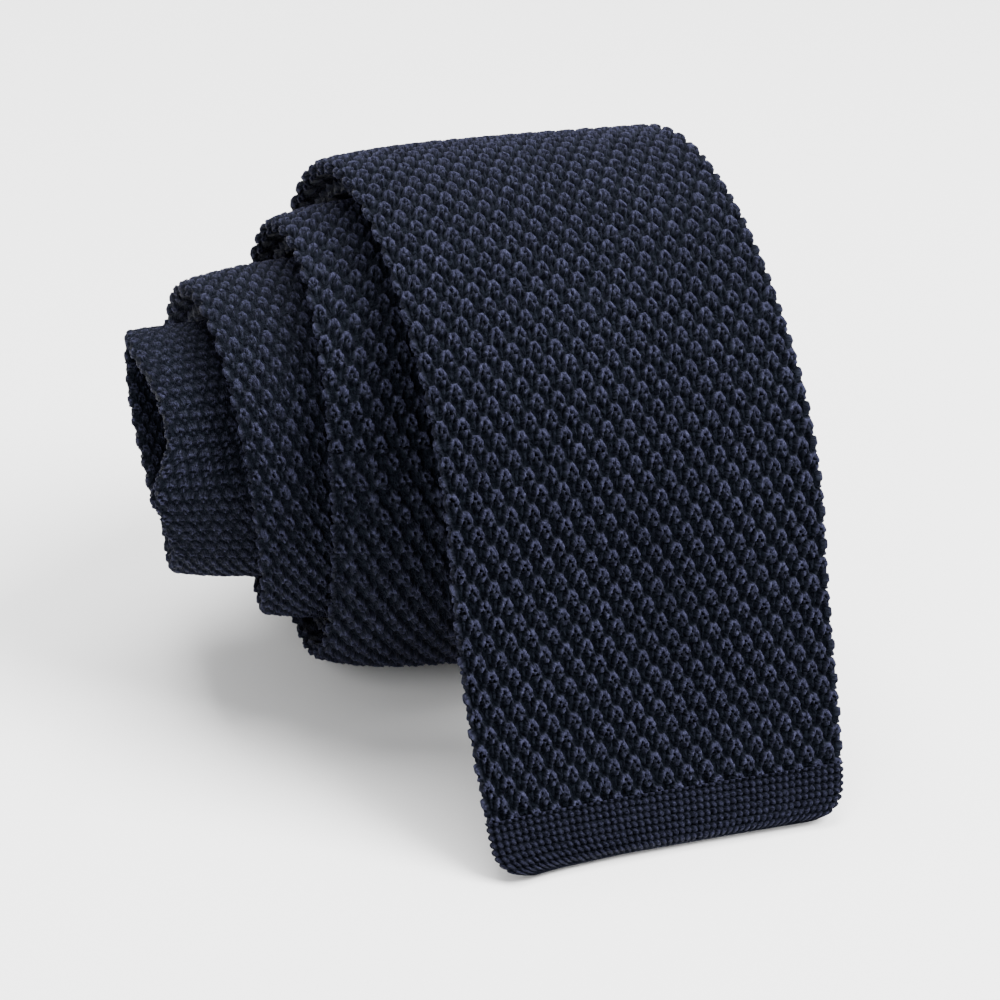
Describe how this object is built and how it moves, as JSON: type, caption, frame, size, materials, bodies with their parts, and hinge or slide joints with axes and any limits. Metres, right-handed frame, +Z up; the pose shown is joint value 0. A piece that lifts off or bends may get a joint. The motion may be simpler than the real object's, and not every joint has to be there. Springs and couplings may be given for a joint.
{
  "type": "knit necktie",
  "caption": "Dark navy knit necktie, doubled and rolled up on its side, with the square end of the wide blade hanging down the front.",
  "frame": {"origin": "middle of the footprint on the table", "axes": "+Z up; -Y to the front, where the blade's end hangs; X along the roll's axis"},
  "size_m": [0.096, 0.1186, 0.0863],
  "materials": {
    "blade_knit": "matte",
    "blade_rib_knit": "matte",
    "neck_knit": "matte",
    "tail_knit": "matte",
    "tail_rib_knit": "matte"
  },
  "bodies": {
    "root": {"blade": "blade_knit", "blade_rib": "blade_rib_knit", "neck_band": "neck_knit", "tail": "tail_knit", "tail_rib": "tail_rib_knit"}
  },
  "joints": []
}
